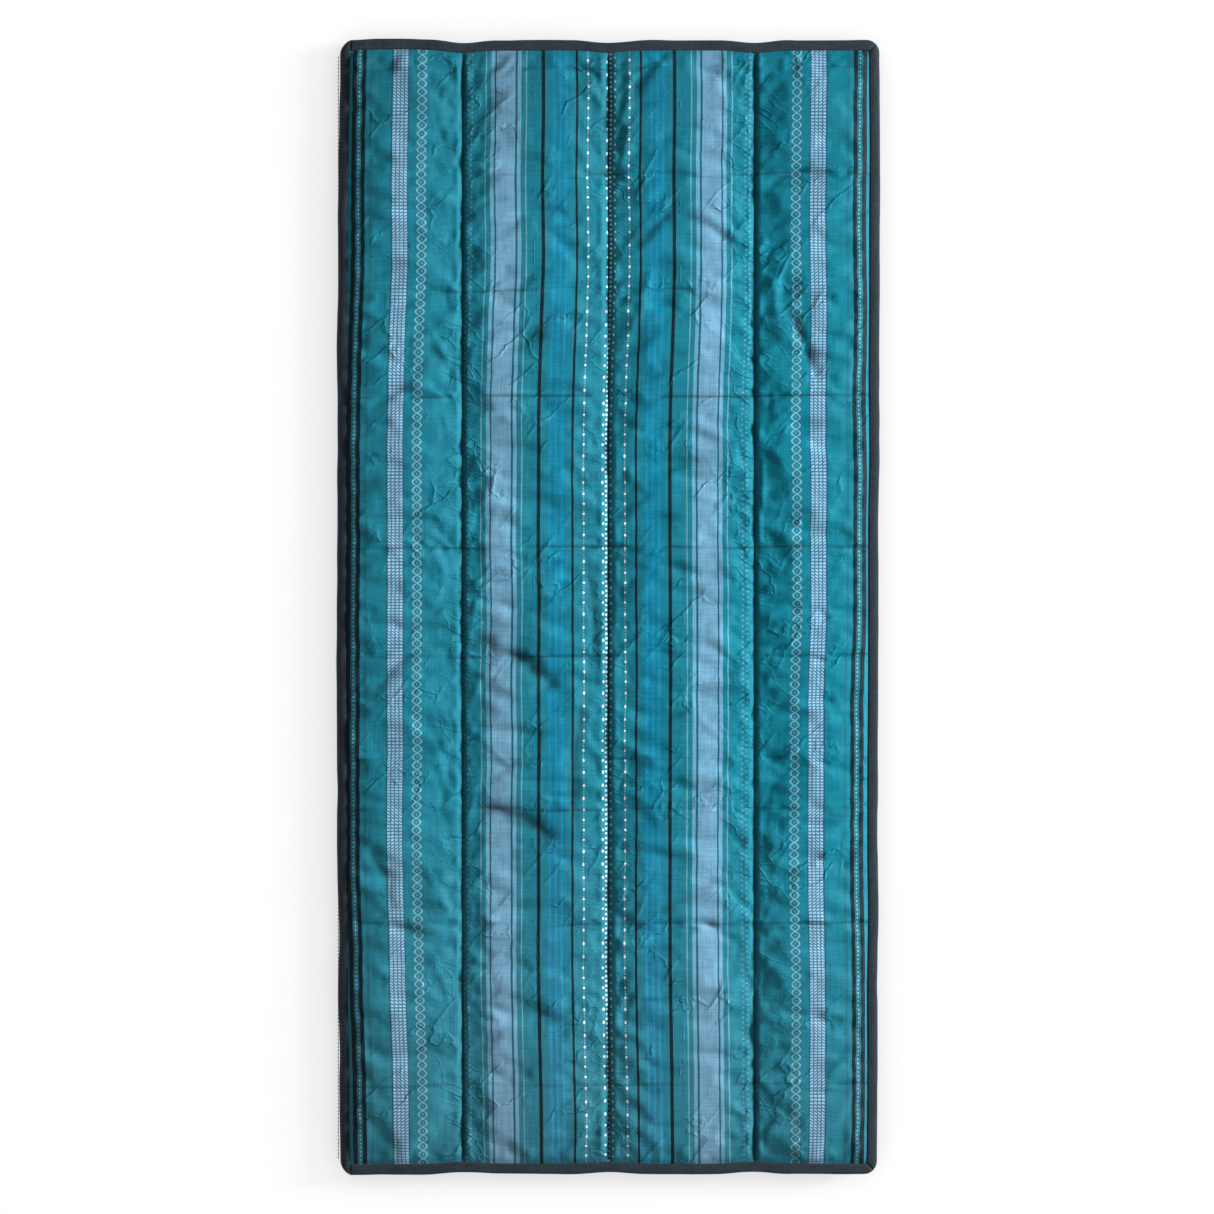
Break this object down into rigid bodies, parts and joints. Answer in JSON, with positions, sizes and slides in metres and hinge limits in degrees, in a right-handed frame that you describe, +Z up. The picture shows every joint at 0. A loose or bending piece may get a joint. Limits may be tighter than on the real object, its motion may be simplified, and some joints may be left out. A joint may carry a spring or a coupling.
{
  "type": "rectangular sleeping bag",
  "caption": "Rectangular sleeping bag: two quilted striped panels joined at a fold, with bound edges and an L-shaped two-slider zip along one side and the foot.",
  "frame": {"origin": "centre of the bag on the ground, under the middle of its length and width", "axes": "+Y towards the open head end, along the bag; +X across the bag towards the zip side; +Z up, through the bag's thickness"},
  "size_m": [0.914, 1.905, 0.054],
  "materials": {
    "shell_fabric": "satin",
    "lining_fabric": "matte",
    "insulation": "matte",
    "thread": "matte",
    "binding_fabric": "satin",
    "zip_tape": "matte",
    "zip_coil": "gloss",
    "end_stop": "gloss",
    "slider_metal": "satin",
    "pull_metal": "satin"
  },
  "bodies": {
    "bottom_panel": {"bottom_shell": "shell_fabric", "bottom_fill_1": "insulation", "bottom_fill_2": "insulation", "bottom_fill_3": "insulation", "bottom_fill_4": "insulation", "bottom_lining": "lining_fabric", "bottom_channel_stitching": "thread", "bottom_side_binding": "binding_fabric", "bottom_head_binding": "binding_fabric", "bottom_foot_binding": "binding_fabric", "bottom_binding_stitching": "thread", "bottom_fold_band": "binding_fabric", "fold_stitching": "thread", "lower_zip_tape": "zip_tape", "lower_zip_coil": "zip_coil", "lower_head_stop": "end_stop", "lower_foot_stop": "end_stop"},
    "top_panel": {"top_shell": "shell_fabric", "top_fill_1": "insulation", "top_fill_2": "insulation", "top_fill_3": "insulation", "top_fill_4": "insulation", "top_lining": "lining_fabric", "top_channel_stitching": "thread", "top_side_binding": "binding_fabric", "top_head_binding": "binding_fabric", "top_foot_binding": "binding_fabric", "top_binding_stitching": "thread", "top_fold_band": "binding_fabric", "upper_zip_tape": "zip_tape", "upper_zip_coil": "zip_coil", "upper_head_stop": "end_stop", "upper_foot_stop": "end_stop", "draft_tube_cover": "lining_fabric", "draft_tube_fill": "insulation"},
    "side_slider": {"side_slider_body": "slider_metal"},
    "side_outer_pull": {"side_outer_pull": "pull_metal"},
    "side_inner_pull": {"side_inner_pull": "pull_metal"},
    "foot_slider": {"foot_slider_body": "slider_metal"},
    "foot_outer_pull": {"foot_outer_pull": "pull_metal"},
    "foot_inner_pull": {"foot_inner_pull": "pull_metal"}
  },
  "joints": [
    {"name": "top_panel_open", "type": "hinge", "parent": "bottom_panel", "child": "top_panel", "pos_m": [-0.456, 0, 0.027], "axis": [0, -1, 0], "range_deg": [0, 179.9]},
    {"name": "side_slider_travel", "type": "slide", "parent": "bottom_panel", "child": "side_slider", "axis": [0, -1, 0], "range_m": [0, 1.81]},
    {"name": "side_outer_pull_swing", "type": "hinge", "parent": "side_slider", "child": "side_outer_pull", "pos_m": [0.4518, 0.9255, 0.02], "axis": [0, 0, 1], "range_deg": [0, 180]},
    {"name": "side_inner_pull_swing", "type": "hinge", "parent": "side_slider", "child": "side_inner_pull", "pos_m": [0.4402, 0.9255, 0.02], "axis": [0, 0, -1], "range_deg": [0, 180]},
    {"name": "foot_slider_travel", "type": "slide", "parent": "bottom_panel", "child": "foot_slider", "axis": [1, 0, 0], "range_m": [0, 0.8]},
    {"name": "foot_outer_pull_swing", "type": "hinge", "parent": "foot_slider", "child": "foot_outer_pull", "pos_m": [-0.4055, -0.9473, 0.02], "axis": [0, 0, -1], "range_deg": [0, 180]},
    {"name": "foot_inner_pull_swing", "type": "hinge", "parent": "foot_slider", "child": "foot_inner_pull", "pos_m": [-0.4055, -0.9357, 0.02], "axis": [0, 0, 1], "range_deg": [0, 180]}
  ]
}
